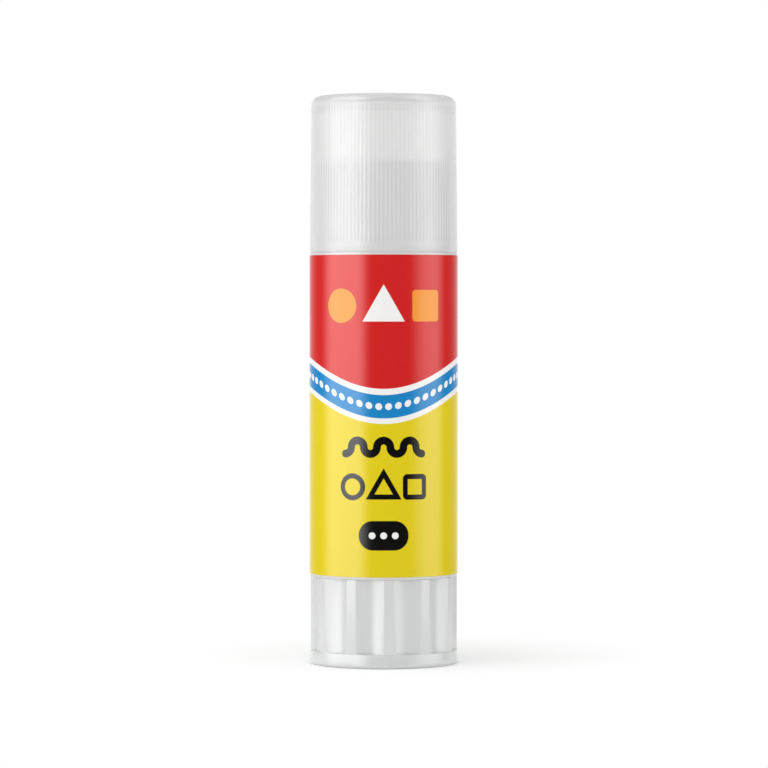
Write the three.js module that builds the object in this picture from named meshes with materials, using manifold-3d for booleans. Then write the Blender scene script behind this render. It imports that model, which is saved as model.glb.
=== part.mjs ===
// A twist-up glue stick, cap on, standing on its base knob.
// Millimetres, +Z up, origin on the axis at the foot of the knob.
// The lead screw is keyed into the knob and clamps the barrel's diaphragm between its flange and the knob's hub.
// Turning the knob counterclockwise, seen from above, drives the carriage up the left-hand screw,
// because four keys on the carriage run in four keyways down the barrel.

import * as THREE from "three";
import { mergeVertices } from "three/addons/utils/BufferGeometryUtils.js";
import Module from "manifold-3d";

const wasm = await Module();
wasm.setup();

// Clearances
const runningGap = 0.2; // between faces that turn or slide on each other
const seatGap = 0.1; // between faces that are pressed or poured together
const cutOverrun = 1; // how far a cutting tool runs past the face it opens

// Barrel
const barrelRadius = 10.88; // the other radii start from this one
const barrelLength = 47.7; // from its lower edge to the shoulder
const barrelEdge = 0.45;
const barrelWall = 2.08;
const barrelSkirtWall = 1.1; // round the knob's spigot
const diaphragmThickness = 1.4;
const neckWall = 0.95;
const neckLength = 13.5;
const neckDraft = 0.14; // radius lost from the neck's foot to its rim
const neckEdge = 0.25;
const beadHeight = 0.12; // the ring that grips the cap
const beadWidth = 1.2;
const beadRise = 2.4; // from the shoulder to the middle of the bead
const keyCount = 4;
const keywayDepth = 0.42;
const keywayWidth = 1.9;

// Base knob
const knobProud = 0.02; // the grip ribs' crests, beyond the barrel
const knobHeight = 12.8;
const footProud = 0.06; // the plain ring under the ribs, beyond their crests
const footHeight = 2.05;
const footRound = 0.8;
const footRingWidth = 2.76; // the ring that the stick stands on, with its round edge
const footRecessDepth = 0.5;
const gripCount = 12;
const gripWidth = 1.4; // one rib, along its arc
const fluteDepth = 0.75; // the scallop between two ribs
const gripTurn = 4.2; // degrees that the front rib stands to the right of centre
const knobWall = 1.3; // inside the flutes
const knobFloor = 1.4;
const hubWall = 1.41;
const socketFloor = 2.2; // from the knob's floor up to the socket's
const knobWebs = 6;
const knobWebThickness = 1;
const knobWebTop = 2.5; // below the knob's upper edge
const spigotHeight = 1.7; // the knob's rim that turns inside the barrel
const spigotWall = 0.75;

// Label
const labelThickness = 0.1;
const labelGap = 0.02;
const labelLowerMargin = 0.4;
const labelUpperMargin = 0.3;
const labelSeam = 0.5; // open slit between the wrap's two ends, at the back

// Cap
const capHeadroom = 8.5; // from the neck's rim to the roof's underside
const capProud = 0.09; // its collar, beyond the barrel
const capFit = 0.13; // to the neck's bead
const capDraft = 0.21; // radius lost from the foot to the roof
const capRoof = 1.3;
const capRound = 1.5;
const capFootEdge = 0.17;
const capInnerRound = 1.2;
const capCollar = 1.4;
const knurlCount = 112;
const knurlDepth = 0.17;
const knurlCrest = 0.5; // share of the pitch that a crest takes
const knurlSink = 0.03; // the ribs' crests lie this much below the collar
const gateRadius = 2;
const gateDepth = 0.2;

// Lead screw
const screwLead = 5; // rise in one turn
const screwStarts = 2;
const screwMajor = 2.9;
const screwMinor = 2.1;
const crestWidth = 0.8; // along the axis
const flankWidth = 0.35; // along the axis, one flank
const journalRadius = 2.95;
const flangeWidth = 2.25;
const flangeThickness = 1;
const shankFlat = 2.5; // axis to flat of the hexagonal shank
const screwSpareReach = 3; // thread still in the nut when the platform is at the rim

// Carriage
const platformThickness = 1.2;
const stemLength = 14.8;
const stemWall = 1.22; // outside the screw's clearance bore
const nutLength = 7;
const threadClearance = 0.24;
const skirtLength = 9.5;
const skirtWall = 0.9;
const cupRim = 2.5; // the rim that holds the foot of the glue
const cupRimWall = 0.7;
const webThickness = 1;
const webHeight = 6;

// Glue
const glueRecess = 3.6; // from the neck's rim down to the glue's edge
const glueDish = 0.35; // the middle of its top lies this much lower than the edge
const glueEdge = 0.4;
const gluePourGap = 0.15; // to the bore

// Fineness
const outerFacets = 64;
const innerFacets = 48;
const smallFacets = 24;
const fluteFacets = 6;
const arcSteps = 4;
const smallArcSteps = 2;
const twistSteps = 15; // rings in one turn of the thread

// Heights that follow
const barrelFoot = knobHeight + runningGap;
const shoulder = barrelFoot + barrelLength;
const neckRim = shoulder + neckLength;
const capFoot = shoulder + runningGap;
const roofUnderside = neckRim + capHeadroom;
const capTop = roofUnderside + capRoof;
const knurlFoot = capFoot + capCollar;
const knurlTop = capTop - capRound;
const knobFloorTop = footRecessDepth + knobFloor;
const socketFoot = knobFloorTop + socketFloor;
const hubTop = knobHeight + spigotHeight;
const diaphragmFoot = hubTop + runningGap;
const diaphragmTop = diaphragmFoot + diaphragmThickness;
const flangeFoot = diaphragmTop + runningGap;
const threadFoot = flangeFoot + flangeThickness;
const stemFoot = threadFoot + runningGap;
const platformFoot = stemFoot + stemLength;
const platformTop = platformFoot + platformThickness;
const glueFoot = platformTop + seatGap;
const glueTop = neckRim - glueRecess;
const fullStroke = neckRim - platformTop;
const screwTop = stemFoot + fullStroke + screwSpareReach;

// Radii that follow
const boreRadius = barrelRadius - barrelWall;
const keyReach = boreRadius + keywayDepth;
const neckRadius = boreRadius + neckWall;
const capRadius = barrelRadius + capProud;
const capInnerRadius = neckRadius + beadHeight + capFit;
const knobRadius = barrelRadius + knobProud;
const footRadius = knobRadius + footProud;
const knobCavityRadius = knobRadius - fluteDepth - knobWall;
const spigotRadius = barrelRadius - barrelSkirtWall - runningGap;
const socketFlat = shankFlat + seatGap;
const hubRadius = socketFlat / Math.cos(Math.PI / 6) + hubWall;
const flangeRadius = journalRadius + flangeWidth;
const screwBore = screwMajor + 2 * threadClearance;
const stemRadius = screwBore + stemWall;
const carriageRadius = boreRadius - runningGap;

// Helpers

const radians = THREE.MathUtils.degToRad;

// A closed geometry as a solid that can be joined and cut.
function solid(geometry) {
  const bare = geometry.index ? geometry.toNonIndexed() : geometry.clone();
  bare.deleteAttribute("normal");
  bare.deleteAttribute("uv");
  const merged = mergeVertices(bare, 1e-4);
  return new wasm.Manifold(
    new wasm.Mesh({
      numProp: 3,
      vertProperties: new Float32Array(merged.attributes.position.array),
      triVerts: new Uint32Array(merged.index.array),
    }),
  );
}

// A profile of [radius, height] pairs, running up its outside, turned about the axis.
function revolve(profile, facets) {
  const points = profile.map(([r, z]) => new THREE.Vector2(r, z));
  return solid(new THREE.LatheGeometry(points, facets).rotateX(Math.PI / 2));
}

// Points along an arc from one direction to another, both in degrees.
function arcPoints(x, y, radius, from, to, steps) {
  return Array.from({ length: steps + 1 }, (_, i) => {
    const a = radians(from + ((to - from) * i) / steps);
    return [x + radius * Math.cos(a), y + radius * Math.sin(a)];
  });
}

function rod(radius, z0, z1, facets) {
  return revolve([[0, z0], [radius, z0], [radius, z1], [0, z1]], facets);
}

// A closed outline of [x, y] pairs, drawn up from z0 to z1.
function prism(outline, z0, z1, steps = 1) {
  const shape = new THREE.Shape(outline.map(([x, y]) => new THREE.Vector2(x, y)));
  const options = { depth: z1 - z0, steps, bevelEnabled: false };
  return new THREE.ExtrudeGeometry(shape, options).translate(0, 0, z0);
}

// Moves each vertex of a geometry by a function of its place.
function reshape(geometry, move) {
  const place = geometry.attributes.position;
  const at = new THREE.Vector3();
  for (let i = 0; i < place.count; i++) {
    move(at.fromBufferAttribute(place, i));
    place.setXYZ(i, at.x, at.y, at.z);
  }
  return geometry;
}

// A block that reaches from one radius to another along +X, turned about the axis.
function bar(r0, r1, width, z0, z1, turn) {
  const block = new THREE.BoxGeometry(r1 - r0, width, z1 - z0);
  block.translate((r0 + r1) / 2, 0, (z0 + z1) / 2);
  return solid(block.rotateZ(radians(turn)));
}

function ringOfBars(count, r0, r1, width, z0, z1, firstTurn = 0) {
  const turns = Array.from({ length: count }, (_, i) => firstTurn + (i * 360) / count);
  return wasm.Manifold.union(turns.map((turn) => bar(r0, r1, width, z0, z1, turn)));
}

function part(name, manifold, colour, roughness, opacity = 1) {
  const mesh = manifold.getMesh();
  const geometry = new THREE.BufferGeometry();
  geometry.setAttribute("position", new THREE.BufferAttribute(mesh.vertProperties, 3));
  geometry.setIndex(new THREE.BufferAttribute(mesh.triVerts, 1));
  geometry.computeVertexNormals();
  const finish = { color: colour, roughness, metalness: 0, opacity, transparent: opacity < 1 };
  const made = new THREE.Mesh(geometry, new THREE.MeshStandardMaterial(finish));
  made.name = name;
  return made;
}

// Thread: a section with one lobe for each start, twisted along the axis

function threadSection(clearance) {
  const degreesPerMm = 360 / screwLead;
  const crest = (crestWidth / 2 + clearance) * degreesPerMm;
  const flank = flankWidth * degreesPerMm;
  const halfPitch = 180 / screwStarts;
  const major = screwMajor + clearance;
  const minor = screwMinor + clearance;
  const crestPoints = clearance > 0 ? [-1, -0.5, 0, 0.5, 1] : [-1, 0, 1];
  const outline = [];
  for (let start = 0; start < screwStarts; start++) {
    const middle = 2 * halfPitch * start;
    const rootHalf = halfPitch - crest - flank;
    for (const share of crestPoints) outline.push([major, middle + share * crest]);
    for (const share of [-1, 0, 1]) outline.push([minor, middle + halfPitch + share * rootHalf]);
  }
  return outline.map(([r, a]) => [r * Math.cos(radians(a)), r * Math.sin(radians(a))]);
}

// Left-handed: the section turns clockwise as it climbs.
function thread(clearance, z0, z1) {
  const steps = Math.ceil(((z1 - z0) / screwLead) * twistSteps);
  const axis = new THREE.Vector3(0, 0, 1);
  const twist = (at) => at.applyAxisAngle(axis, (-2 * Math.PI * at.z) / screwLead);
  return solid(reshape(prism(threadSection(clearance), z0, z1, steps), twist));
}

// Sub-parts

function makeKnob() {
  const footRecessRadius = footRadius - footRingWidth;
  const body = revolve(
    [
      [0, footRecessDepth],
      [footRecessRadius, footRecessDepth],
      [footRecessRadius + footRecessDepth / 2, 0],
      ...arcPoints(footRadius - footRound, footRound, footRound, -90, 0, arcSteps),
      [footRadius, footHeight],
      [knobRadius, footHeight],
      [knobRadius, knobHeight],
      [spigotRadius, knobHeight],
      [spigotRadius, hubTop],
      [0, hubTop],
    ],
    outerFacets,
  );
  const cavity = revolve(
    [
      [hubRadius, knobFloorTop],
      [knobCavityRadius, knobFloorTop],
      [knobCavityRadius, knobHeight],
      [spigotRadius - spigotWall, knobHeight],
      [spigotRadius - spigotWall, hubTop + cutOverrun],
      [hubRadius, hubTop + cutOverrun],
      [hubRadius, knobFloorTop],
    ],
    innerFacets,
  );
  const webs = ringOfBars(
    knobWebs,
    hubRadius - knobWebThickness / 2,
    knobCavityRadius + knobWebThickness / 2,
    knobWebThickness,
    knobFloorTop - knobFloor / 2,
    knobHeight - knobWebTop,
    gripTurn,
  );
  const socket = shank(socketFlat, socketFoot, hubTop + cutOverrun);
  return body.subtract(makeFlutes()).subtract(cavity).add(webs).subtract(socket);
}

// Each flute is cut by a cylinder that meets the crests of the two ribs beside it.
function makeFlutes() {
  const halfTurn = Math.PI / gripCount - gripWidth / knobRadius / 2;
  const halfChord = knobRadius * Math.sin(halfTurn);
  const crestLine = knobRadius * Math.cos(halfTurn);
  const sagitta = crestLine - (knobRadius - fluteDepth);
  const cutterRadius = (halfChord ** 2 + sagitta ** 2) / (2 * sagitta);
  const cutterPlace = knobRadius - fluteDepth + cutterRadius;
  const reach = THREE.MathUtils.radToDeg(Math.asin(halfChord / cutterRadius));
  // Past the crests the cutter opens out, so that it leaves no sliver.
  const outer = knobRadius + cutOverrun;
  const flare = (halfChord * outer) / crestLine;
  const scoop = arcPoints(cutterPlace, 0, cutterRadius, 180 + reach, 180 - reach, fluteFacets);
  const outline = [...scoop, [outer, flare], [outer, -flare]];
  const flutes = Array.from({ length: gripCount }, (_, i) => {
    const turn = gripTurn - 90 + ((i + 0.5) * 360) / gripCount;
    return solid(prism(outline, footHeight, knobHeight + cutOverrun).rotateZ(radians(turn)));
  });
  return wasm.Manifold.union(flutes);
}

// The hexagonal end of the screw, or the socket for it.
function shank(flat, z0, z1) {
  return rod(flat / Math.cos(Math.PI / 6), z0, z1, 6);
}

function makeLeadScrew() {
  const foot = socketFoot + seatGap;
  const journal = rod(journalRadius, hubTop, flangeFoot + seatGap, smallFacets);
  const flange = rod(flangeRadius, flangeFoot, threadFoot, smallFacets);
  const threads = thread(0, threadFoot - seatGap, screwTop);
  const tip = revolve(
    [
      [0, foot],
      [flangeRadius, foot],
      [flangeRadius, screwTop - screwMajor + screwMinor],
      [screwMinor, screwTop],
      [0, screwTop],
    ],
    smallFacets,
  );
  const whole = wasm.Manifold.union([shank(shankFlat, foot, hubTop + seatGap), journal, flange, threads]);
  return whole.intersect(tip);
}

function makeBarrel() {
  const rim = neckRadius - neckDraft;
  const skirtBore = barrelRadius - barrelSkirtWall;
  const beadMiddle = shoulder + beadRise;
  const neckAt = (z) => neckRadius - (neckDraft * (z - shoulder)) / neckLength;
  const shell = revolve(
    [
      [0, diaphragmFoot],
      [skirtBore, diaphragmFoot],
      [skirtBore, barrelFoot],
      ...arcPoints(barrelRadius - barrelEdge, barrelFoot + barrelEdge, barrelEdge, -90, 0, arcSteps),
      [barrelRadius, shoulder - barrelEdge / 2],
      [barrelRadius - barrelEdge / 2, shoulder],
      [neckRadius, shoulder],
      [neckAt(beadMiddle - beadWidth / 2), beadMiddle - beadWidth / 2],
      [neckAt(beadMiddle) + beadHeight, beadMiddle],
      [neckAt(beadMiddle + beadWidth / 2), beadMiddle + beadWidth / 2],
      ...arcPoints(rim - neckEdge, neckRim - neckEdge, neckEdge, 0, 90, smallArcSteps),
      [0, neckRim],
    ],
    outerFacets,
  );
  const bore = rod(boreRadius, diaphragmTop, neckRim + cutOverrun, innerFacets);
  const keyways = ringOfBars(keyCount, 0, keyReach, keywayWidth, diaphragmTop, neckRim + cutOverrun);
  const hole = rod(journalRadius + runningGap, diaphragmFoot - cutOverrun, diaphragmTop + cutOverrun, smallFacets);
  return shell.subtract(wasm.Manifold.union([bore, keyways, hole]));
}

function makeLabel() {
  const inner = barrelRadius + labelGap;
  const outer = inner + labelThickness;
  const halfSeam = THREE.MathUtils.radToDeg(labelSeam / 2 / inner);
  const [from, to] = [90 + halfSeam, 450 - halfSeam];
  const outline = [
    ...arcPoints(0, 0, outer, from, to, outerFacets),
    ...arcPoints(0, 0, inner, to, from, outerFacets),
  ];
  return solid(prism(outline, barrelFoot + labelLowerMargin, shoulder - labelUpperMargin));
}

function makeCap() {
  const draftAt = (z) => (capDraft * (z - capFoot)) / (capTop - capFoot);
  const outerAt = (z) => capRadius - draftAt(z);
  const innerAt = (z) => capInnerRadius - draftAt(z);
  const coreRadius = outerAt(knurlTop) - 2 * knurlDepth; // under the ribs, all the way up
  const shell = revolve(
    [
      [0, capFoot],
      [capRadius - capFootEdge, capFoot],
      [capRadius, capFoot + capFootEdge],
      [outerAt(knurlFoot), knurlFoot],
      [coreRadius, knurlFoot],
      [coreRadius, knurlTop],
      ...arcPoints(outerAt(knurlTop) - capRound, knurlTop, capRound, 0, 90, arcSteps),
      [gateRadius, capTop],
      [gateRadius - gateDepth, capTop - gateDepth],
      [0, capTop - gateDepth],
    ],
    outerFacets,
  );
  const roundFoot = roofUnderside - capInnerRound;
  const hollow = revolve(
    [
      [0, capFoot - cutOverrun],
      [innerAt(capFoot - cutOverrun), capFoot - cutOverrun],
      ...arcPoints(innerAt(roundFoot) - capInnerRound, roundFoot, capInnerRound, 0, 90, arcSteps),
      [0, roofUnderside],
    ],
    innerFacets,
  );
  return shell.add(makeKnurls(outerAt, coreRadius)).subtract(hollow);
}

// A band of fine upright ribs, drawn in towards the roof as the cap is.
function makeKnurls(outerAt, coreRadius) {
  const crest = outerAt(knurlFoot) - knurlSink;
  const crestHalf = knurlCrest / 2;
  const rib = [[0.5 - crestHalf, crest], [0.5 + crestHalf, crest], [1, crest - knurlDepth]];
  const outline = [];
  for (let i = 0; i < knurlCount; i++) {
    for (const [share, r] of rib) {
      const a = (2 * Math.PI * (i + share)) / knurlCount;
      outline.push([r * Math.cos(a), r * Math.sin(a)]);
    }
  }
  const drawIn = (at) => {
    const share = outerAt(at.z) / outerAt(knurlFoot);
    at.set(at.x * share, at.y * share, at.z);
  };
  const core = rod(coreRadius - knurlDepth, knurlFoot - cutOverrun, knurlTop + cutOverrun, innerFacets);
  return solid(reshape(prism(outline, knurlFoot, knurlTop), drawIn)).subtract(core);
}

function makeCarriage() {
  const radius = carriageRadius;
  const keyTip = keyReach - runningGap;
  const keyWidth = keywayWidth - 2 * runningGap;
  const skirtFoot = platformFoot - skirtLength;
  const shell = revolve(
    [
      [0, stemFoot],
      [stemRadius, stemFoot],
      [stemRadius, platformFoot],
      [radius - skirtWall, platformFoot],
      [radius - skirtWall, skirtFoot],
      [radius, skirtFoot],
      [radius, platformTop + cupRim],
      [radius - cupRimWall, platformTop + cupRim],
      [radius - cupRimWall, platformTop],
      [0, platformTop],
    ],
    innerFacets,
  );
  const keys = ringOfBars(keyCount, radius - skirtWall / 2, keyTip, keyWidth, skirtFoot, platformTop);
  const webs = ringOfBars(
    keyCount,
    stemRadius - skirtWall / 2,
    radius - skirtWall / 2,
    webThickness,
    platformFoot - webHeight,
    platformFoot + platformThickness / 2,
    180 / keyCount,
  );
  const clearBore = rod(screwBore, stemFoot + nutLength, platformTop + cutOverrun, smallFacets);
  // The tap is the screw's own thread, grown by the clearance.
  const tap = thread(threadClearance, stemFoot - cutOverrun, stemFoot + nutLength + cutOverrun);
  return shell.add(keys).add(webs).subtract(clearBore).subtract(tap);
}

function makeGlue() {
  const radius = boreRadius - gluePourGap;
  const plugRadius = carriageRadius - cupRimWall - seatGap;
  const cupTop = platformTop + cupRim + seatGap;
  const ridges = ringOfBars(
    keyCount,
    0,
    keyReach - gluePourGap,
    keywayWidth - 2 * gluePourGap,
    cupTop,
    glueTop + cutOverrun,
  );
  const column = rod(radius, cupTop, glueTop + cutOverrun, innerFacets).add(ridges);
  const plug = rod(plugRadius, glueFoot, cupTop + seatGap, innerFacets);
  // The top is a shallow bowl, struck from a centre high above it.
  const lip = radius - glueEdge;
  const bowlRadius = (lip ** 2 + glueDish ** 2) / (2 * glueDish);
  const bowlCentre = glueTop - glueDish + bowlRadius;
  const bowlReach = THREE.MathUtils.radToDeg(Math.asin(lip / bowlRadius));
  const envelope = revolve(
    [
      [0, glueFoot],
      [keyReach, glueFoot],
      [keyReach, glueTop - glueEdge],
      ...arcPoints(0, bowlCentre, bowlRadius, bowlReach - 90, -90, arcSteps),
    ],
    innerFacets,
  );
  const screwHole = rod(screwBore, glueFoot - cutOverrun, screwTop + runningGap, smallFacets);
  return column.add(plug).intersect(envelope).subtract(screwHole);
}

// The stick

const plastic = "#e9eceb";
const stick = new THREE.Group();
const held = new THREE.Group();
held.add(part("barrel", makeBarrel(), plastic, 0.35), part("label", makeLabel(), "#e2cb24", 0.3));
const drive = new THREE.Group();
drive.add(part("knob", makeKnob(), plastic, 0.35, 0.85), part("lead_screw", makeLeadScrew(), "#f1f1ee", 0.45));
const lift = new THREE.Group();
lift.add(part("carriage", makeCarriage(), "#f1f1ee", 0.45), part("glue", makeGlue(), "#f4f2e6", 0.55));
stick.add(held, drive, lift, part("cap", makeCap(), plastic, 0.3, 0.55));

export default stick;
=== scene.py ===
"""A twist-up glue stick, capped, standing on its knob.

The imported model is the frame, and the pieces here give it its finish.
Profiles are written in millimetres, and every mesh is made in metres.
"""

import math

import bmesh
import bpy
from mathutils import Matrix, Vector


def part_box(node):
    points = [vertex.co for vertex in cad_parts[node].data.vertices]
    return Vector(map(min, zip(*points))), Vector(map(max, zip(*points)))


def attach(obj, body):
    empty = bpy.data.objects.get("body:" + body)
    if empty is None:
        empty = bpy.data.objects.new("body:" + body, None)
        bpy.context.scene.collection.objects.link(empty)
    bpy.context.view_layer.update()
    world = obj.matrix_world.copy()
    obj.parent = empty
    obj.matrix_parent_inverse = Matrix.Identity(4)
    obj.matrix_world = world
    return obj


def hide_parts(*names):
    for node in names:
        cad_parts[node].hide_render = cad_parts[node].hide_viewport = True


MM = 0.001
TURN = 2 * math.pi

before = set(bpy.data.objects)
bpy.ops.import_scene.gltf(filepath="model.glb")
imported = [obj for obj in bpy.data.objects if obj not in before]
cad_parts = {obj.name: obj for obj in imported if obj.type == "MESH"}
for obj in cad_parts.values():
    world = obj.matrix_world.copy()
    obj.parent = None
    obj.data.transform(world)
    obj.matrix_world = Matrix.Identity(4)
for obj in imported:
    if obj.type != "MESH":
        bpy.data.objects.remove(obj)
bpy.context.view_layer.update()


def extent(node):
    """A CAD node's foot, top and radius, in millimetres."""
    low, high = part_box(node)
    return low.z / MM, high.z / MM, high.x / MM


barrel_foot, neck_rim, barrel_radius = extent("barrel")
_, label_top, label_radius = extent("label")
_, hub_top, foot_radius = extent("knob")
cap_foot, cap_top, cap_radius = extent("cap")
glue_foot, glue_top, key_reach = extent("glue")
screw_foot, screw_top, flange_radius = extent("lead_screw")

# Details that the boxes don't give. All sizes are in millimetres.
BEVEL = 0.15
SMALL_BEVEL = 0.1
RUNNING_GAP = 0.2
THIRDS = (0.33, 0.66)

KNOB_RADIUS = foot_radius - 0.1
KNOB_TOP = barrel_foot - 0.02
KNOB_TOP_EDGE = 0.04
KNOB_FLOOR = 1.9
KNOB_CAVITY = 8.85
KNOB_CAVITY_ROUND = 0.5
FOOT_HEIGHT = 2.05
FOOT_ROUND = 0.45
FOOT_LIP = 0.1
RECESS_RADIUS = 8.2
RECESS_FLARE = 0.3
RECESS_DEPTH = 0.5
HUB_RADIUS = 4.4
HUB_FILLET = 0.4
SOCKET_RADIUS = 3.05
SOCKET_FOOT = 4.1
SPIGOT_RADIUS = 9.58
SPIGOT_BORE = 8.83
GRIPS = 12
GRIP_WIDTH = 1.5
GRIP_TURN = 4.2  # degrees to the right of the front
FLUTE_DEPTH = 0.6
FLUTE_EASE = 0.05

SHOULDER = cap_foot - 0.1
BARREL_EDGE = 0.12
SHOULDER_EDGE = 0.05
NECK_RADIUS = 9.75
NECK_DRAFT = 0.14
NECK_EDGE = 0.25
BORE_RADIUS = 8.8
KEYWAYS = 4
KEYWAY_DEPTH = 0.42
KEYWAY_WIDTH = 1.9
KEYWAY_SLOPE = 0.006  # half of what each side of a keyway takes, in radians
KEY_SLACK = 0.3
DIAPHRAGM_FOOT = hub_top + RUNNING_GAP
DIAPHRAGM_TOP = DIAPHRAGM_FOOT + 1.4
DIAPHRAGM_HOLE = 3.15
SKIRT_BORE = 9.78
SKIRT_CORNER = 0.2
BEAD_RISE = 2.4
BEAD_WIDTH = 1.2
BEAD_HEIGHT = 0.12

CAP_GAP = 0.03
CAP_DRAFT = 0.21
CAP_WALL = 0.97
CAP_ROOF = 1.15
CAP_ROUND = 1.5
CAP_INNER_ROUND = 1.2
CAP_LEDGE = 0.3
CAP_EDGE = 0.06
CAP_COLLAR = 1.4
GATE_RADIUS = 2
GATE_DEPTH = 0.2
RIBS = 112
RIB_STEPS = 8
RIB_SINK = 0.03  # how far the crests lie below the collar
RIB_LEAD_IN = 0.18
RIB_DEPTH = 0.033  # in front of the neck
RIB_DEPTH_TOP = 0.022  # above the neck
RIB_FADE = (0.75, 0.35, 0.1)  # shares of that depth, up the first steps of the roof's edge
RIB_CHANGE_FOOT = neck_rim - 0.2
RIB_CHANGE_TOP = neck_rim + 0.4
RIB_ROW = 68  # the height of one more row, below that change
RIB_ROW_TOP = 78  # and above it

LABEL_FOOT = barrel_foot + 0.4
LABEL_TOP = label_top + 0.03
LABEL_SEAM = 0.5
LABEL_THICKNESS = 0.1
LABEL_EDGE = 0.03
LABEL_STEPS = 300

SCREW_LEAD = 5
SCREW_MAJOR = 2.9
SCREW_MINOR = 2.1
THREAD_CREST = 0.8
THREAD_FLANK = 0.35
THREAD_ROWS = 40  # in one turn
JOURNAL_RADIUS = 2.95
SHANK_FLAT = 2.5
SHANK_ROWS = 24
FLANGE_THICKNESS = 1.0
SHARP_STEP = 0.01  # the height that a square shoulder takes

GLUE_RADIUS = 8.65
GLUE_PLUG_RADIUS = 7.8
GLUE_PLUG_TOP = 36.1
GLUE_HOLE = 3.38
GLUE_EDGE = 0.4
GLUE_DISH = 0.35


# Mesh helpers


def loft(rings, wrap=False, cap_ends=False):
    """Vertices and faces of closed rings joined in order. A ring of one point is a pole."""
    verts = []
    rows = []
    for ring in rings:
        rows.append(range(len(verts), len(verts) + len(ring)))
        verts.extend(ring)
    faces = []
    pairs = list(zip(rows, rows[1:]))
    if wrap:
        pairs.append((rows[-1], rows[0]))
    for low, high in pairs:
        count = max(len(low), len(high))
        for j in range(count):
            k = (j + 1) % count
            if len(low) == 1:
                faces.append((low[0], high[k], high[j]))
            elif len(high) == 1:
                faces.append((low[j], low[k], high[0]))
            else:
                faces.append((low[j], low[k], high[k], high[j]))
    if cap_ends:
        faces.append(tuple(reversed(rows[0])))
        faces.append(tuple(rows[-1]))
    return verts, faces


def spin(profile, angles, pattern, wrap=False):
    """Turns rows of (radius, height, depth) about the axis.

    A row without a depth is round. The pattern has a share from 0 to 1 for each angle,
    and the surface lies that share of the row's depth inside its radius.
    """
    rings = []
    for row in profile:
        radius, z = row[0], row[1]
        depth = row[2] if len(row) > 2 else 0
        if radius == 0:
            rings.append([(0, 0, z)])
            continue
        ring = []
        for angle, share in zip(angles, pattern):
            r = radius - depth * share
            ring.append((r * math.cos(angle), r * math.sin(angle), z))
        rings.append(ring)
    return loft(rings, wrap=wrap)


def arc(r, z, radius, start, end, steps, depth=0):
    """Rows along a round, from one direction to another in degrees."""
    rows = []
    for i in range(steps + 1):
        a = math.radians(start + (end - start) * i / steps)
        rows.append((r + radius * math.cos(a), z + radius * math.sin(a), depth))
    return rows


def even_angles(count):
    return [TURN * i / count for i in range(count)]


def make_piece(name, shape, body, material, stands_for, sharp=35):
    """A closed mesh, given in millimetres, as an object that rides on a body."""
    verts, faces = shape
    mesh = bpy.data.meshes.new(name)
    mesh.from_pydata([(x * MM, y * MM, z * MM) for x, y, z in verts], [], faces)
    work = bmesh.new()
    work.from_mesh(mesh)
    bmesh.ops.recalc_face_normals(work, faces=work.faces)
    work.to_mesh(mesh)
    work.free()
    mesh.shade_smooth()
    mesh.set_sharp_from_angle(angle=math.radians(sharp))
    mesh.materials.append(material)
    piece = bpy.data.objects.new(name, mesh)
    bpy.context.scene.collection.objects.link(piece)
    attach(piece, body)
    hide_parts(stands_for)


# Node helpers


def linear(red, green, blue):
    """An on-screen colour, from 0 to 255, as linear light."""
    out = []
    for value in (red, green, blue):
        c = value / 255
        out.append(c / 12.92 if c <= 0.04045 else ((c + 0.055) / 1.055) ** 2.4)
    return (*out, 1)


def dimmed(colour, share):
    """A colour at a share of its brightness."""
    return tuple(c * share for c in colour[:3]) + (1,)


class Field:
    """A value that varies over a surface. Arithmetic on it adds maths nodes."""

    def __init__(self, tree, socket):
        self.tree = tree
        self.socket = socket

    def maths(self, operation, *others):
        node = self.tree.nodes.new("ShaderNodeMath")
        node.operation = operation
        for slot, value in zip(node.inputs, (self, *others)):
            plug(self.tree, value, slot)
        return Field(self.tree, node.outputs[0])

    def __add__(self, other):
        return self.maths("ADD", other)

    def __sub__(self, other):
        return self.maths("SUBTRACT", other)

    def __mul__(self, other):
        return self.maths("MULTIPLY", other)

    def __truediv__(self, other):
        return self.maths("DIVIDE", other)

    def __rsub__(self, other):
        return self * -1 + other

    def __neg__(self):
        return self * -1

    def __abs__(self):
        return self.maths("ABSOLUTE")

    def cos(self):
        return self.maths("COSINE")

    def at_least(self, other):
        return self.maths("MAXIMUM", other)

    def at_most(self, other):
        return self.maths("MINIMUM", other)


def plug(tree, value, slot):
    """Links a field to a socket, or sets the socket to a plain number or colour."""
    if isinstance(value, Field):
        tree.links.new(value.socket, slot)
    else:
        slot.default_value = value


def length(x, y):
    return (x * x + y * y).maths("SQRT")


def new_material(name):
    material = bpy.data.materials.new(name)
    material.use_nodes = True
    tree = material.node_tree
    return material, tree, tree.nodes["Principled BSDF"]


def surface_place(tree):
    """The place on the surface in the object's own frame, in metres."""
    return tree.nodes.new("ShaderNodeTexCoord").outputs["Object"]


def axes_of(tree, vector):
    """The three parts of a vector."""
    split = tree.nodes.new("ShaderNodeSeparateXYZ")
    tree.links.new(vector, split.inputs["Vector"])
    return [Field(tree, socket) for socket in split.outputs]


def surface_axes(tree):
    """The place on the surface along each of the object's axes, in millimetres."""
    return [part / MM for part in axes_of(tree, surface_place(tree))]


def noise_field(tree, scale, detail=2, stretch=(1, 1, 1)):
    """Noise from 0 to 1 with about one cell in each 1/scale metres."""
    mapping = tree.nodes.new("ShaderNodeMapping")
    mapping.inputs["Scale"].default_value = stretch
    tree.links.new(surface_place(tree), mapping.inputs["Vector"])
    noise = tree.nodes.new("ShaderNodeTexNoise")
    noise.inputs["Scale"].default_value = scale
    noise.inputs["Detail"].default_value = detail
    tree.links.new(mapping.outputs["Vector"], noise.inputs["Vector"])
    return Field(tree, noise.outputs["Fac"])


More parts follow.
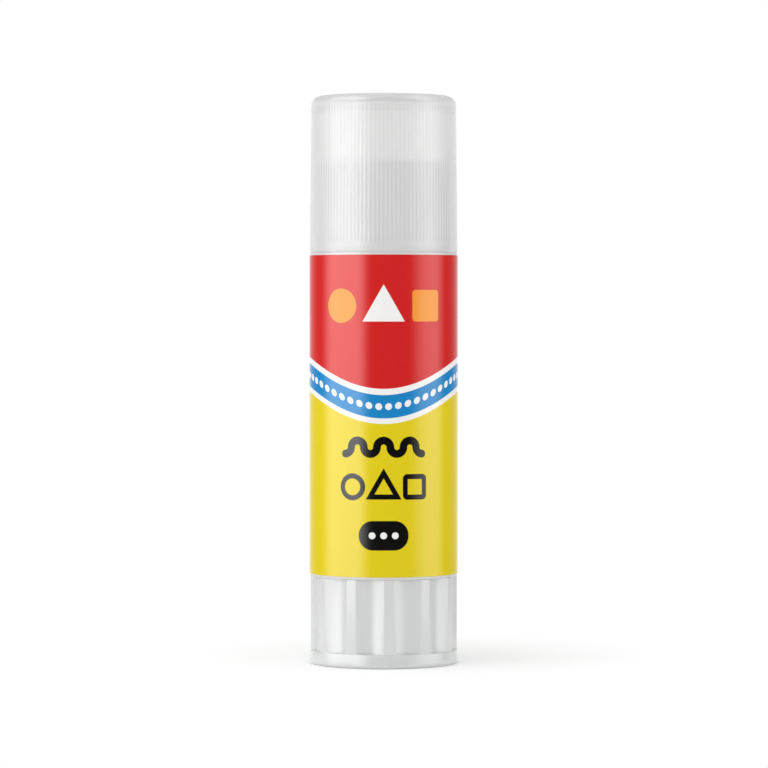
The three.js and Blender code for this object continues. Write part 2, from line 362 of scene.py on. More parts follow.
def remap(field, low, high, out_low, out_high):
    """Goes from one value to another as the field goes from low to high, and no further."""
    node = field.tree.nodes.new("ShaderNodeMapRange")
    node.inputs["From Min"].default_value = low
    node.inputs["From Max"].default_value = high
    node.inputs["To Min"].default_value = out_low
    node.inputs["To Max"].default_value = out_high
    field.tree.links.new(field.socket, node.inputs["Value"])
    return Field(field.tree, node.outputs["Result"])


def smooth(field, low, high, out_low, out_high):
    """As remap, with eased ends."""
    result = remap(field, low, high, out_low, out_high)
    result.socket.node.interpolation_type = "SMOOTHSTEP"
    return result


def between(field, start, end, soft_start, soft_end):
    """1 from start to end, falling to 0 over the given softness at either side."""
    rise = smooth(field, start - soft_start, start, 0, 1)
    return rise * smooth(field, end, end + soft_end, 1, 0)


def spread(noise, low, high):
    """Two values for the noise's usual range, and those between."""
    return remap(noise, 0.3, 0.7, low, high)


def blend_colours(tree, share, first, second):
    """A colour between two, each a plain colour or a field."""
    mix = tree.nodes.new("ShaderNodeMix")
    mix.data_type = "RGBA"
    plug(tree, share, mix.inputs["Factor"])
    plug(tree, first, mix.inputs["A"])
    plug(tree, second, mix.inputs["B"])
    return Field(tree, mix.outputs["Result"])


def add_bump(tree, shader, height, depth):
    """Relief of a given depth in millimetres. The height field runs from 0 to 1."""
    bump = tree.nodes.new("ShaderNodeBump")
    bump.inputs["Strength"].default_value = 1
    bump.inputs["Distance"].default_value = depth * MM
    tree.links.new(height.socket, bump.inputs["Height"])
    tree.links.new(bump.outputs["Normal"], shader.inputs["Normal"])


def ray_is(tree, *kinds):
    """1 for a ray of any of the kinds, and 0 for the others."""
    path = tree.nodes.new("ShaderNodeLightPath")
    fields = [Field(tree, path.outputs[f"Is {kind} Ray"]) for kind in kinds]
    share = fields[0]
    for field in fields[1:]:
        share = share.at_least(field)
    return share


# Materials

# Shares by which the cap darkens: an even tone on collar and wall, painted shade in grooves, roof and roof
# edge
GROOVE_SHADE = 0.076
GROOVE_SHADE_TOP = 0.045
COLLAR_SHADE = 0.04
CAP_SHADE = 0.07
ROOF_SHADE = 0.04
ROOF_EDGE_SHADE = 0.06
# The share of the painted lighter line round the roof
ROOF_LINE_LIFT = 0.07

# Where they set in or end, as heights above the cap's top and distances out from its wall
COLLAR_BLEND = 0.3  # above the collar
GROOVE_END = (-1.9, -1)
ROOF_START = (-2.78, -2.62)
ROOF_EDGE_START = (-0.9, -0.6)
ROOF_EDGE_REACH = (-1.7, -1.3)
ROOF_LINE = (-1.45, -1.15)
ROOF_LINE_BLEND = (0.3, 0.25)

# The painted shade in the crease at each flute's foot: its share, its height, and how it fades up, down and
# outward
CREASE_SHADE = 0.1
CREASE_HEIGHT = FOOT_HEIGHT + 0.08
CREASE_FADE = (0.06, 0.2)
CREASE_REACH = (-0.3, -0.05)


def cap_shade(tree):
    """How much darker the cap is: evenly over its wall, with painted shade in its rib grooves, thick roof
    and roof edge, less a painted lighter line round the roof.
    """
    x, y, z = surface_axes(tree)
    from_top = z - cap_top
    from_wall = length(x, y) - cap_radius
    collar_top = cap_foot + CAP_COLLAR
    collar_end = collar_top + COLLAR_BLEND
    # Painted shade in the grooves between the ribs, fading out near the roof
    groove = (y.maths("ARCTAN2", x) * RIBS).cos()
    groove = groove * smooth(z, RIB_CHANGE_FOOT, RIB_CHANGE_TOP, GROOVE_SHADE, GROOVE_SHADE_TOP)
    groove = groove * smooth(z, collar_top, collar_end, 0, 1) * smooth(from_top, *GROOVE_END, 1, 0)
    wall = smooth(z, collar_top, collar_end, COLLAR_SHADE, CAP_SHADE)
    # Painted shade in the thick roof, and along its rounded edge
    roof = smooth(from_top, *ROOF_START, 0, ROOF_SHADE)
    edge = smooth(from_top, *ROOF_EDGE_START, 0, ROOF_EDGE_SHADE)
    edge = edge * smooth(from_wall, *ROOF_EDGE_REACH, 0, 1)
    # A painted lighter line round the roof, below that edge
    line = between(from_top, *ROOF_LINE, *ROOF_LINE_BLEND) * ROOF_LINE_LIFT
    return groove + wall + roof + edge - line


def crease_shade(tree):
    """How much painted shade darkens the knob in the crease at each flute's foot."""
    x, y, z = surface_axes(tree)
    from_wall = length(x, y) - KNOB_RADIUS
    deep = smooth(from_wall, *CREASE_REACH, CREASE_SHADE, 0)
    return smooth(abs(z - CREASE_HEIGHT), *CREASE_FADE, 1, 0) * deep


def translucent_plastic(name, tint, alpha, roughness, gloss, absorption=0, shade=None):
    """Natural polypropylene: partly clear, with a milky body and faint flow marks."""
    material, tree, shader = new_material(name)
    flow_marks = noise_field(tree, scale=160, detail=3, stretch=(1, 1, 0.35))
    colour = blend_colours(tree, flow_marks, tint, dimmed(tint, 0.98))
    # Where a shade is given, the colour is blended toward black by it: painted shade
    if shade:
        colour = blend_colours(tree, shade(tree), colour, (0, 0, 0, 1))
    grain = noise_field(tree, scale=2600)
    plug(tree, colour, shader.inputs["Base Color"])
    plug(tree, spread(grain, roughness * 0.9, roughness * 1.1), shader.inputs["Roughness"])
    shader.inputs["IOR"].default_value = 1.49
    shader.inputs["Alpha"].default_value = alpha
    shader.inputs["Specular IOR Level"].default_value = gloss
    if absorption:
        depth = tree.nodes.new("ShaderNodeVolumeAbsorption")
        depth.inputs["Color"].default_value = (0.5, 0.5, 0.5, 1)
        depth.inputs["Density"].default_value = absorption
        tree.links.new(depth.outputs["Volume"], tree.nodes["Material Output"].inputs["Volume"])
    return material


def solid_plastic(name, colour, roughness):
    """Opaque moulded plastic with a fine matt grain."""
    material, tree, shader = new_material(name)
    clouds = noise_field(tree, scale=220, detail=3)
    grain = noise_field(tree, scale=3000)
    mottled = blend_colours(tree, clouds, colour, dimmed(colour, 0.94))
    plug(tree, mottled, shader.inputs["Base Color"])
    plug(tree, spread(grain, roughness * 0.85, roughness * 1.15), shader.inputs["Roughness"])
    add_bump(tree, shader, grain, 0.008)
    return material


def glue_paste(name):
    """Waxy off-white glue, with soft smears across its face."""
    material, tree, shader = new_material(name)
    smears = noise_field(tree, scale=300, detail=4, stretch=(1, 0.3, 1))
    colour = blend_colours(tree, smears, linear(246, 244, 236), linear(232, 229, 217))
    plug(tree, colour, shader.inputs["Base Color"])
    plug(tree, spread(smears, 0.38, 0.55), shader.inputs["Roughness"])
    shader.inputs["Subsurface Weight"].default_value = 0.35
    shader.inputs["Subsurface Radius"].default_value = (1, 0.9, 0.75)
    shader.inputs["Subsurface Scale"].default_value = 2 * MM
    add_bump(tree, shader, smears, 0.06)
    return material


# The label's print. Shapes are signed distances in millimetres, below 0 inside.

INK_SOFTNESS = 0.03

RED = linear(210, 27, 25)
YELLOW = linear(229, 207, 6)
BLUE = linear(12, 133, 198)
WHITE = linear(244, 243, 240)
ORANGE = linear(242, 150, 36)
BLACK = linear(13, 12, 11)

# Heights of the wave, and of the figures' middles
WAVE_HEIGHT = 43.2
FULL_FIGURES_HEIGHT = 53
STROKE_HEIGHT = 32.4
OPEN_FIGURES_HEIGHT = 26.6
PLATE_HEIGHT = 19.5

# The wave where the red field ends, and how far below it the blue band and its white borders run
WAVE_SWELLS = 2
WAVE_RISE = 2.3
BORDER_EDGE = 0.9
BAND_EDGE = 4.3
YELLOW_EDGE = 5.1
BAND_MIDDLE = 2.6
BAND_DOTS = 48
DOT_RADIUS = 0.5
DOT_SPACING = 1.7

STROKE_TURN = 0.975  # radius of its half circles
STROKE_WIDTH = 1.15
STROKE_TURNS = 6
OUTLINE_WIDTH = 0.75
PLATE_HALF_WIDTH = 3.7
PLATE_HALF_HEIGHT = 2.15
PLATE_ROUND = 2.1


def inside(distance):
    """1 inside a shape and 0 outside it, with a soft edge."""
    return remap(distance, -INK_SOFTNESS, INK_SOFTNESS, 1, 0)


def disc(x, y, radius):
    return length(x, y) - radius


def rounded_box(x, y, half_width, half_height, radius):
    dx = abs(x) - (half_width - radius)
    dy = abs(y) - (half_height - radius)
    outer = length(dx.at_least(0), dy.at_least(0))
    return outer + dx.at_least(dy).at_most(0) - radius


def triangle(x, y, inner_radius):
    slope = abs(x) * math.cos(math.pi / 6) + y * math.sin(math.pi / 6)
    return slope.at_least(-y) - inner_radius


def outline_of(distance, width):
    return abs(distance) - width / 2


def wavy_line(x, y, half_length, radius, width):
    """A line of even width, made of half circles that turn up and down."""
    from_crest = x.maths("PINGPONG", 2 * radius)
    crest = abs(length(from_crest, y) - radius)
    trough = abs(length(from_crest - 2 * radius, y) - radius)
    above = y.maths("GREATER_THAN", 0)
    away = above * (crest - trough) + trough
    return (away - width / 2).at_least(abs(x) - half_length)


def figures(x, y, spacing, disc_radius, box_half, box_round, triangle_radius, triangle_round, drop):
    """A disc, a triangle and a square in a row. The triangle's middle lies lower by the drop."""
    return (
        disc(x + spacing, y, disc_radius),
        triangle(x, y + drop, triangle_radius) - triangle_round,
        rounded_box(x - spacing, y, box_half, box_half, box_round),
    )


def label_film(name):
    """The printed wrap: level fields of colour round the stick, with plain figures on them."""
    material, tree, shader = new_material(name)
    x, y, z = surface_axes(tree)
    along = x.maths("ARCTAN2", -y) * label_radius
    grain = noise_field(tree, scale=2200)

    above = z - WAVE_HEIGHT + (along * (WAVE_SWELLS / label_radius)).cos() * WAVE_RISE
    colour = blend_colours(tree, grain, YELLOW, dimmed(YELLOW, 0.97))
    for edge, ink in ((YELLOW_EDGE, WHITE), (BAND_EDGE, BLUE), (BORDER_EDGE, WHITE), (0, RED)):
        colour = blend_colours(tree, inside(-(above + edge)), colour, ink)

    def stamp(shape, ink):
        nonlocal colour
        colour = blend_colours(tree, inside(shape), colour, ink)

    # Full figures on the red field
    full = figures(
        along,
        z - FULL_FIGURES_HEIGHT,
        spacing=6.6,
        disc_radius=2.5,
        box_half=2.3,
        box_round=0.5,
        triangle_radius=1.55,
        triangle_round=0.25,
        drop=0.5,
    )
    for shape, ink in zip(full, (ORANGE, WHITE, ORANGE)):
        stamp(shape, ink)

    # Dots along the blue band
    half_pitch = label_radius * TURN / BAND_DOTS
    beside = along.maths("PINGPONG", half_pitch) - half_pitch / 2
    stamp(disc(beside, above + BAND_MIDDLE, DOT_RADIUS), WHITE)

    # A wavy stroke with round ends, and open figures, on the yellow field
    half_stroke = STROKE_TURNS * STROKE_TURN
    stamp(wavy_line(along, z - STROKE_HEIGHT, half_stroke, STROKE_TURN, STROKE_WIDTH), BLACK)
    for end in (-half_stroke, half_stroke):
        stamp(disc(along - end, z - STROKE_HEIGHT + STROKE_TURN, STROKE_WIDTH / 2), BLACK)
    outlined = figures(
        along,
        z - OPEN_FIGURES_HEIGHT,
        spacing=4.7,
        disc_radius=1.6,
        box_half=1.5,
        box_round=0.3,
        triangle_radius=1.05,
        triangle_round=0.1,
        drop=0.3,
    )
    for shape in outlined:
        stamp(outline_of(shape, OUTLINE_WIDTH), BLACK)

    # The dark plate with three plain dots
    plate = rounded_box(along, z - PLATE_HEIGHT, PLATE_HALF_WIDTH, PLATE_HALF_HEIGHT, PLATE_ROUND)
    stamp(plate, BLACK)
    for place in (-DOT_SPACING, 0, DOT_SPACING):
        stamp(disc(along - place, z - PLATE_HEIGHT, DOT_RADIUS), WHITE)

    plug(tree, colour, shader.inputs["Base Color"])
    plug(tree, spread(grain, 0.16, 0.22), shader.inputs["Roughness"])
    shader.inputs["IOR"].default_value = 1.5
    add_bump(tree, shader, noise_field(tree, scale=500), 0.006)
    return material


# Pieces


def make_cap(material):
    """The ribbed cap, from the inside of its roof, round its foot and up to the gate mark."""
    foot = SHOULDER + CAP_GAP
    roof_under = cap_top - CAP_ROOF
    rib_foot = foot + CAP_COLLAR
    rib_top = cap_top - CAP_ROUND

    def outer(z):
        return cap_radius - CAP_DRAFT * (z - foot) / (cap_top - foot)

    def inner(z):
        return outer(z) - CAP_WALL

    def crest(z):
        return outer(z) - RIB_SINK

    corner = roof_under - CAP_INNER_ROUND
    corner_radius = inner(corner) - CAP_INNER_ROUND
    corner_round = CAP_INNER_ROUND - CAP_LEDGE
    profile = [(0, roof_under), (4, roof_under)]
    profile += reversed(arc(corner_radius, corner + CAP_LEDGE, corner_round, 0, 90, 8))
    profile += [(corner_radius + corner_round, corner), (inner(corner) - 0.02, corner)]
    for share in THIRDS:
        z = corner + (foot - corner) * share
        profile.append((inner(z), z))
    profile += arc(inner(foot) + CAP_EDGE, foot + CAP_EDGE, CAP_EDGE, 180, 270, 3)
    profile += arc(cap_radius - CAP_EDGE, foot + CAP_EDGE, CAP_EDGE, -90, 0, 3)
    collar_top = rib_foot - SMALL_BEVEL
    profile += [(outer(collar_top), collar_top), (crest(rib_foot), rib_foot)]
    for z in (rib_foot + RIB_LEAD_IN, RIB_ROW, RIB_CHANGE_FOOT):
        profile.append((crest(z), z, RIB_DEPTH))
    for z in (RIB_CHANGE_TOP, RIB_ROW_TOP, rib_top):
        profile.append((crest(z), z, RIB_DEPTH_TOP))
    roof_edge = arc(outer(rib_top) - CAP_ROUND, rib_top, CAP_ROUND, 0, 90, 10)
    for i, (r, z, _) in enumerate(roof_edge[1:]):
        share = RIB_FADE[i] if i < len(RIB_FADE) else 0
        profile.append((r, z, RIB_DEPTH_TOP * share))

    # The gate mark, a shallow dish in the middle of the roof
    profile += [
        (5, cap_top),
        (GATE_RADIUS + 0.08, cap_top),
        (GATE_RADIUS - 0.02, cap_top - 0.05),
        (GATE_RADIUS - GATE_DEPTH, cap_top - GATE_DEPTH),
        (0, cap_top - GATE_DEPTH),
    ]
    steps = RIBS * RIB_STEPS
    pattern = [0.5 + 0.5 * math.cos(TURN * i / RIB_STEPS) for i in range(steps)]
    shape = spin(profile, even_angles(steps), pattern)
    make_piece("cap_shell", shape, "cap", material, "cap", sharp=50)


def keyed_angles(count, width, radius):
    """Even angles with extra ones at the sides of the keyways, and a pattern that is 1 inside them."""
    half = math.asin(width / 2 / radius)
    apart = TURN / KEYWAYS
    angles = set(even_angles(count))
    for k in range(KEYWAYS):
        for side in (-1, 1):
            for offset in (half - KEYWAY_SLOPE, half + KEYWAY_SLOPE):
                angles.add((apart * k + side * offset) % TURN)
    angles = sorted(angles)
    pattern = []
    for a in angles:
        away = abs((a + apart / 2) % apart - apart / 2)
        pattern.append(1 if away < half else 0)
    return angles, pattern


def make_barrel(material):
    """The tube, from the diaphragm's underside, down the skirt, up the outside and down the bore."""
    rim = NECK_RADIUS - NECK_DRAFT

    def neck(z):
        return NECK_RADIUS - NECK_DRAFT * (z - SHOULDER) / (neck_rim - SHOULDER)

    profile = [
        (DIAPHRAGM_HOLE, DIAPHRAGM_FOOT),
        (SKIRT_BORE - SKIRT_CORNER, DIAPHRAGM_FOOT),
        (SKIRT_BORE, DIAPHRAGM_FOOT - SKIRT_CORNER),
        (SKIRT_BORE, barrel_foot + BEVEL),
        (SKIRT_BORE + BEVEL, barrel_foot),
    ]
    profile += arc(barrel_radius - BARREL_EDGE, barrel_foot + BARREL_EDGE, BARREL_EDGE, -90, 0, 6)
    profile += arc(barrel_radius - SHOULDER_EDGE, SHOULDER - SHOULDER_EDGE, SHOULDER_EDGE, 0, 90, 4)
    profile += [(NECK_RADIUS + BEVEL, SHOULDER), (NECK_RADIUS, SHOULDER + BEVEL)]
    bead_steps = 6
    for i in range(bead_steps + 1):
        share = i / bead_steps
        z = SHOULDER + BEAD_RISE + BEAD_WIDTH * (share - 0.5)
        profile.append((neck(z) + BEAD_HEIGHT * math.sin(math.pi * share), z))
    profile += arc(rim - NECK_EDGE, neck_rim - NECK_EDGE, NECK_EDGE, 0, 90, 4)
    profile += [
        (BORE_RADIUS + SMALL_BEVEL, neck_rim, -KEYWAY_DEPTH),
        (BORE_RADIUS, neck_rim - SMALL_BEVEL, -KEYWAY_DEPTH),
        (BORE_RADIUS, DIAPHRAGM_TOP, -KEYWAY_DEPTH),
        (DIAPHRAGM_HOLE, DIAPHRAGM_TOP),
    ]
    angles, pattern = keyed_angles(160, KEYWAY_WIDTH, BORE_RADIUS)
    shape = spin(profile, angles, pattern, wrap=True)
    make_piece("barrel_tube", shape, "barrel", material, "barrel")


def make_glue(material):
    """The column with its four ridges, hollow round the screw and slightly dished on top."""
    angles, pattern = keyed_angles(144, KEYWAY_WIDTH - KEY_SLACK, GLUE_RADIUS)
    ridge = GLUE_RADIUS - key_reach
    hole_top = screw_top + RUNNING_GAP
    edge_foot = glue_top - GLUE_EDGE
    lip = GLUE_RADIUS - GLUE_EDGE
    profile = [
        (0, hole_top),
        (GLUE_HOLE, hole_top),
        (GLUE_HOLE, glue_foot),
        (GLUE_PLUG_RADIUS, glue_foot),
        (GLUE_PLUG_RADIUS, GLUE_PLUG_TOP),
        (GLUE_RADIUS, GLUE_PLUG_TOP, ridge),
        (GLUE_RADIUS, edge_foot, ridge),
    ]
    edge_steps = 6
    for i, (r, z, _) in enumerate(arc(lip, edge_foot, GLUE_EDGE, 0, 90, edge_steps)):
        if i > 0:
            profile.append((r, z, ridge * (1 - i / edge_steps)))
    for share in (0.8, 0.6, 0.4, 0.2, 0):
        profile.append((lip * share, glue_top - GLUE_DISH * (1 - share**2)))
    shape = spin(profile, angles, pattern)
    make_piece("glue_column", shape, "carriage", material, "glue")


def flute_pattern():
    """The angles round the knob, and how deep the flutes are at each, as a share of their depth."""
    half_turn = math.pi / GRIPS - GRIP_WIDTH / KNOB_RADIUS / 2
    half_chord = KNOB_RADIUS * math.sin(half_turn)
    sagitta = KNOB_RADIUS * math.cos(half_turn) - (KNOB_RADIUS - FLUTE_DEPTH)
    cutter = (half_chord**2 + sagitta**2) / (2 * sagitta)
    centre = KNOB_RADIUS - FLUTE_DEPTH + cutter

    def scoop_depth(phi):
        """How deep a scoop is at an angle from its middle, eased at the rib's edge."""
        reach = min(abs(phi), math.asin(cutter / centre) * 0.999)
        r = centre * math.cos(reach) - math.sqrt(cutter**2 - (centre * math.sin(reach)) ** 2)
        deep = KNOB_RADIUS - r
        blend = max(0, min(1, 0.5 + 0.5 * deep / FLUTE_EASE))
        return deep * blend + FLUTE_EASE * blend * (1 - blend)

    half_pitch = 180 / GRIPS
    edge = math.degrees(half_turn)
    scoop_steps = (0, 0.15, 0.3, 0.45, 0.6, 0.75, 0.87, 0.94, 0.975, 1, 1.02, 1.05)
    offsets = [edge * share for share in scoop_steps]
    offsets += [edge + (half_pitch - edge) * share for share in (0.4, 0.7)]
    offsets = sorted({-o for o in offsets} | set(offsets)) + [half_pitch]
    places = []
    for k in range(GRIPS):
        middle = GRIP_TURN - 90 + (2 * k + 1) * half_pitch
        for o in offsets:
            share = scoop_depth(math.radians(o)) / FLUTE_DEPTH
            places.append((math.radians(middle + o) % TURN, share))
    return zip(*sorted(places))


def make_knob(material):
    """The knob: round scoops between twelve narrow ribs, down to a plain foot ring."""
    # The recess underneath, and the foot ring, which leans in a little up to its lip
    profile = [
        (0, RECESS_DEPTH),
        (RECESS_RADIUS - RECESS_FLARE, RECESS_DEPTH),
        (RECESS_RADIUS, RECESS_DEPTH - SMALL_BEVEL),
        (RECESS_RADIUS + 0.2, 0.05),
        (RECESS_RADIUS + RECESS_FLARE, 0),
    ]
    profile += arc(foot_radius - FOOT_ROUND, FOOT_ROUND, FOOT_ROUND, -90, 0, 8)
    lip_foot = FOOT_HEIGHT - FOOT_LIP
    profile += [(foot_radius - 0.005, FOOT_ROUND + 0.08), (KNOB_RADIUS + 0.03, lip_foot - 0.1)]
    profile += arc(KNOB_RADIUS - FOOT_LIP + 0.02, lip_foot, FOOT_LIP, 15, 75, 3, depth=0.02)

    # Each flute's depth, and how far above the foot ring it has reached it
    flute_foot = (
        (0.12, 0),
        (FLUTE_DEPTH - 0.15, 0.02),
        (FLUTE_DEPTH - 0.05, 0.035),
        (FLUTE_DEPTH - 0.012, 0.07),
        (FLUTE_DEPTH, 0.12),
    )
    profile += [(KNOB_RADIUS, FOOT_HEIGHT + rise, depth) for depth, rise in flute_foot]

    # Over the top, round the spigot, down into the cavity, and up and over the hub to its socket
    profile += [
        (KNOB_RADIUS, KNOB_TOP - KNOB_TOP_EDGE, FLUTE_DEPTH),
        (KNOB_RADIUS - KNOB_TOP_EDGE, KNOB_TOP, FLUTE_DEPTH),
        (SPIGOT_RADIUS + SMALL_BEVEL, KNOB_TOP),
        (SPIGOT_RADIUS, KNOB_TOP + SMALL_BEVEL),
        (SPIGOT_RADIUS, hub_top - BEVEL),
        (SPIGOT_RADIUS - BEVEL, hub_top),
        (SPIGOT_BORE + SMALL_BEVEL, hub_top),
        (SPIGOT_BORE, hub_top - SMALL_BEVEL),
        (SPIGOT_BORE, KNOB_TOP),
        (KNOB_CAVITY, KNOB_TOP - 0.3),
        (KNOB_CAVITY, KNOB_FLOOR + KNOB_CAVITY_ROUND),
        (KNOB_CAVITY - BEVEL, KNOB_FLOOR + BEVEL),
        (KNOB_CAVITY - KNOB_CAVITY_ROUND, KNOB_FLOOR),
        (HUB_RADIUS + HUB_FILLET, KNOB_FLOOR),
        (HUB_RADIUS, KNOB_FLOOR + HUB_FILLET),
        (HUB_RADIUS, hub_top - BEVEL),
        (HUB_RADIUS - BEVEL, hub_top),
        (SOCKET_RADIUS, hub_top),
        (SOCKET_RADIUS, SOCKET_FOOT),
        (0, SOCKET_FOOT),
    ]
    angles, pattern = flute_pattern()
    shape = spin(profile, angles, pattern)
    make_piece("twist_knob", shape, "knob", material, "knob")


def make_label(material):
    """The film wrap, open at the back where its two ends meet."""
    inner = label_radius - LABEL_THICKNESS
    half_seam = LABEL_SEAM / 2 / inner
    back = TURN / 4
    section = [
        (inner, LABEL_FOOT),
        (label_radius - LABEL_EDGE, LABEL_FOOT),
        (label_radius, LABEL_FOOT + LABEL_EDGE),
        (label_radius, LABEL_TOP - LABEL_EDGE),
        (label_radius - LABEL_EDGE, LABEL_TOP),
        (inner, LABEL_TOP),
    ]
    rings = []
    for i in range(LABEL_STEPS + 1):
        a = back + half_seam + (TURN - 2 * half_seam) * i / LABEL_STEPS
        rings.append([(r * math.cos(a), r * math.sin(a), z) for r, z in section])
    shape = loft(rings, cap_ends=True)
    make_piece("wrap_label", shape, "barrel", material, "label")


def thread_section():
    """Angles in degrees round the screw, with the thread's height there from 0 to 1. It has two lobes."""
    crest = THREAD_CREST / 2 * 360 / SCREW_LEAD
    flank = THREAD_FLANK * 360 / SCREW_LEAD
    root = 90 - crest - flank
    half_lobe = [(share * crest, 1) for share in (0, *THIRDS, 1)]
    half_lobe += [(crest + flank / 2, 0.5), (crest + flank, 0)]
    half_lobe += [(crest + flank + root * share, 0) for share in THIRDS]
    lobe = [(-a, height) for a, height in reversed(half_lobe[1:])] + half_lobe + [(90, 0)]
    return [(a + 180 * start, height) for start in range(2) for a, height in lobe]


def make_screw(material):
    """Hexagonal shank, journal, flange and the two-start left-hand thread, as one moulding."""
    section = thread_section()

    def ring(z, radius_of):
        """A ring in step with the thread. The radius depends on the true angle and the thread's height."""
        points = []
        for a, height in section:
            angle = math.radians(a - 360 * z / SCREW_LEAD)
            r = radius_of(angle, height)
            points.append((r * math.cos(angle), r * math.sin(angle), z))
        return points

    def hexagon(angle, _height):
        sixth = TURN / 6
        return SHANK_FLAT / math.cos(angle % sixth - sixth / 2)

    def plain(radius):
        return lambda _angle, _height: radius

    def thread(limit):
        return lambda _angle, height: min(limit, SCREW_MINOR + (SCREW_MAJOR - SCREW_MINOR) * height)

    rings = [[(0, 0, screw_foot)]]
    for i in range(SHANK_ROWS + 1):
        rings.append(ring(screw_foot + (hub_top - screw_foot) * i / SHANK_ROWS, hexagon))
    flange_foot = DIAPHRAGM_TOP + RUNNING_GAP
    flange_top = flange_foot + FLANGE_THICKNESS
    rings += [
        ring(hub_top + SHARP_STEP, plain(JOURNAL_RADIUS)),
        ring(flange_foot, plain(JOURNAL_RADIUS)),
        ring(flange_foot + SHARP_STEP, plain(flange_radius)),
        ring(flange_top, plain(flange_radius)),
    ]
    thread_foot = flange_top + SHARP_STEP
    rows = round((screw_top - flange_top) / SCREW_LEAD * THREAD_ROWS)
    for i in range(rows + 1):
        z = thread_foot + (screw_top - thread_foot) * i / rows
        tip = max(0, min(SCREW_MAJOR - SCREW_MINOR, screw_top - z))
        rings.append(ring(z, thread(SCREW_MINOR + tip)))
    rings.append([(0, 0, screw_top)])
    make_piece("drive_screw", loft(rings), "knob", material, "lead_screw", sharp=30)


cap_material = translucent_plastic(
    "cap_polypropylene",
    linear(254, 254, 254),
    alpha=0.46,
    roughness=0.15,
    gloss=0.76,
    absorption=72,
    shade=cap_shade,
)
knob_material = translucent_plastic(
    "knob_polypropylene",
    linear(229, 230, 230),
    alpha=0.88,
    roughness=0.16,
    gloss=0.7,
    shade=crease_shade,
)
barrel_material = translucent_plastic(
    "barrel_polypropylene",
    linear(226, 227, 226),
    alpha=0.9,
    roughness=0.25,
    gloss=0.8,
)
inner_material = solid_plastic("inner_plastic", linear(238, 238, 234), roughness=0.45)

make_cap(cap_material)
make_barrel(barrel_material)
make_label(label_film("printed_film"))
make_knob(knob_material)
make_screw(inner_material)
make_glue(glue_paste("glue_paste"))

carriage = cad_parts["carriage"]
carriage.data.materials.clear()
carriage.data.materials.append(inner_material)


# Stage, light and camera. Places and sizes are in metres.

# Degrees from the camera's side, positive to the right: the start and end, and the softness at each
LEFT_WINDOW = (-83, -42, 30, 22)
RIGHT_WINDOW = (70, 86, 32, 25)

# Where the floor's shadow has its middle, and how it melts away from there, in millimetres
SHADOW_X = 6
SHADOW_Y = 14.5
MELT_START = -4
MELT_END = 38.7
CONTACT_MELT = 0.35  # the share of the melt that is left right at the foot


def make_world(front_light, back_light, side_glow, left_glow, right_glow):
    """Plain white for the eye, and even soft light.

    Gloss mirrors the white behind the stick and two tall soft windows in front of it.
    """
    world = bpy.data.worlds.new("studio")
    world.use_nodes = True
    tree = world.node_tree
    coords = tree.nodes.new("ShaderNodeTexCoord")
    x, y, z = axes_of(tree, coords.outputs["Generated"])
    azimuth = x.maths("ARCTAN2", -y) * (360 / TURN)

    # The windows spread out as they rise, and the left one is brighter toward the front
    spreading = azimuth * remap(z, 0.2, 0.9, 1, 0.8)
    left = between(spreading, *LEFT_WINDOW) * remap(azimuth, -110, -40, 0.86, 1.1) * left_glow
    right = between(spreading, *RIGHT_WINDOW) * right_glow

    # They are dimmer below the horizon, brighten as they rise, and end short of straight up
    windows = (left + right) * smooth(z, 0.85, 0.98, 1, 0)
    windows = windows * smooth(z, -0.12, 0.04, 0.66, 1.11) * remap(z, 0.3, 0.85, 1, 1.5)

    behind = y.at_least(0).maths("POWER", 4) * smooth(z, 0.05, 0.35, 1, 0.1)
    panorama = behind + smooth(y, -0.3, 0.5, side_glow, 0.05) + windows
    soft_light = smooth(y, -0.5, 0.5, front_light, back_light) * smooth(z, 0.2, 0.9, 1, 0.85)
    strength = ray_is(tree, "Glossy") * (panorama - soft_light) + soft_light
    strength = ray_is(tree, "Camera", "Transmission") * (1 - strength) + strength
    background = tree.nodes["Background"]
    background.inputs["Color"].default_value = (1, 1, 1, 1)
    plug(tree, strength, background.inputs["Strength"])
    bpy.context.scene.world = world


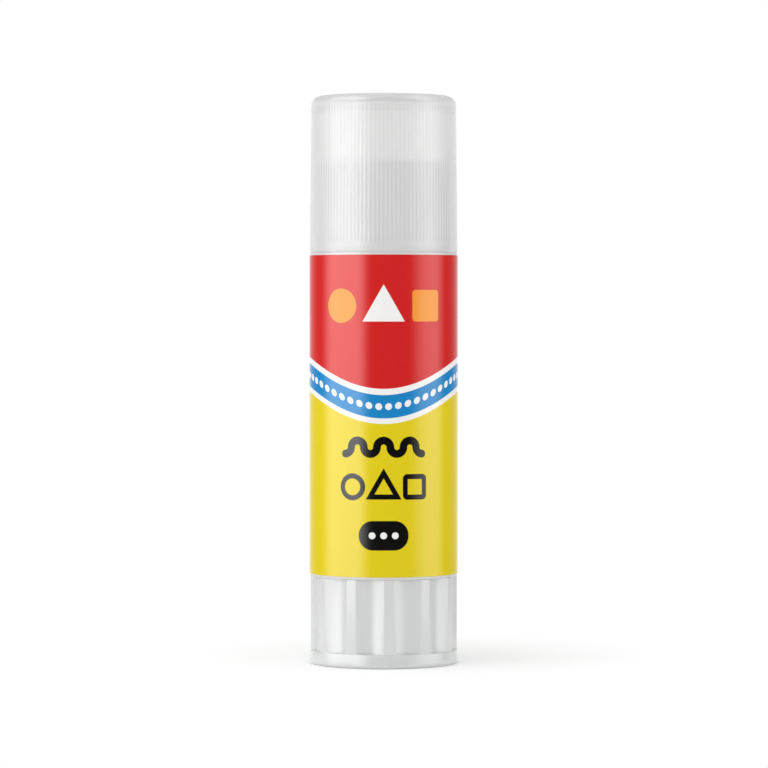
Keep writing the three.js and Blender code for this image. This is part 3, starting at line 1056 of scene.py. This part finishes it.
def make_floor(radius, corners=96):
    """A round pale floor that keeps the shadow near the stick and melts into the white further out."""
    material, tree, shader = new_material("floor_white")
    shader.inputs["Base Color"].default_value = (0.88, 0.882, 0.896, 1)
    shader.inputs["Roughness"].default_value = 0.8
    shader.inputs["Specular IOR Level"].default_value = 0.1
    x, y, _ = surface_axes(tree)
    melt = smooth(length(x - SHADOW_X, y - SHADOW_Y), MELT_START, MELT_END, 0, 1)
    melt = melt * smooth(length(x, y), foot_radius - 0.5, foot_radius + 1.6, CONTACT_MELT, 1)
    melt = melt * ray_is(tree, "Camera", "Glossy", "Transmission")
    glow = tree.nodes.new("ShaderNodeEmission")
    mix = tree.nodes.new("ShaderNodeMixShader")
    plug(tree, melt, mix.inputs["Fac"])
    tree.links.new(shader.outputs["BSDF"], mix.inputs[1])
    tree.links.new(glow.outputs["Emission"], mix.inputs[2])
    tree.links.new(mix.outputs["Shader"], tree.nodes["Material Output"].inputs["Surface"])
    mesh = bpy.data.meshes.new("floor")
    rim = [(radius * math.cos(a), radius * math.sin(a), 0) for a in even_angles(corners)]
    mesh.from_pydata(rim, [], [tuple(range(corners))])
    mesh.materials.append(material)
    floor = bpy.data.objects.new("floor", mesh)
    bpy.context.scene.collection.objects.link(floor)


def make_softbox(name, azimuth, distance, height, side, radiance):
    """A square lamp that faces the stick. Azimuth runs from the camera's side, positive to the right."""
    data = bpy.data.lights.new(name, "AREA")
    data.shape = "RECTANGLE"
    data.size = side
    data.size_y = side
    data.energy = radiance * math.pi * side**2
    lamp = bpy.data.objects.new(name, data)
    a = math.radians(azimuth)
    lamp.location = (distance * math.sin(a), -distance * math.cos(a), height)
    aim = Vector((0, 0, cap_top / 2 * MM)) - lamp.location
    lamp.rotation_euler = aim.to_track_quat("-Z", "Y").to_euler()
    lamp.visible_glossy = False
    bpy.context.scene.collection.objects.link(lamp)


def make_camera(lens, place, tilt):
    """A camera that looks along +Y, tilted down by some degrees."""
    data = bpy.data.cameras.new("camera")
    data.lens = lens
    data.sensor_width = 36
    data.clip_end = 20
    camera = bpy.data.objects.new("camera", data)
    camera.location = place
    camera.rotation_euler = (math.radians(90 - tilt), 0, 0)
    bpy.context.scene.collection.objects.link(camera)
    bpy.context.scene.camera = camera


make_world(front_light=1.04, back_light=1.1, side_glow=0.02, left_glow=4.2, right_glow=2.65)
make_floor(radius=0.1)
make_softbox("left_softbox", azimuth=-92, distance=0.6, height=0.2, side=0.6, radiance=0.85)
make_camera(lens=176.62, place=(0.00005, -0.559, 0.0529), tilt=1.18)
bpy.context.scene.view_settings.view_transform = "Standard"
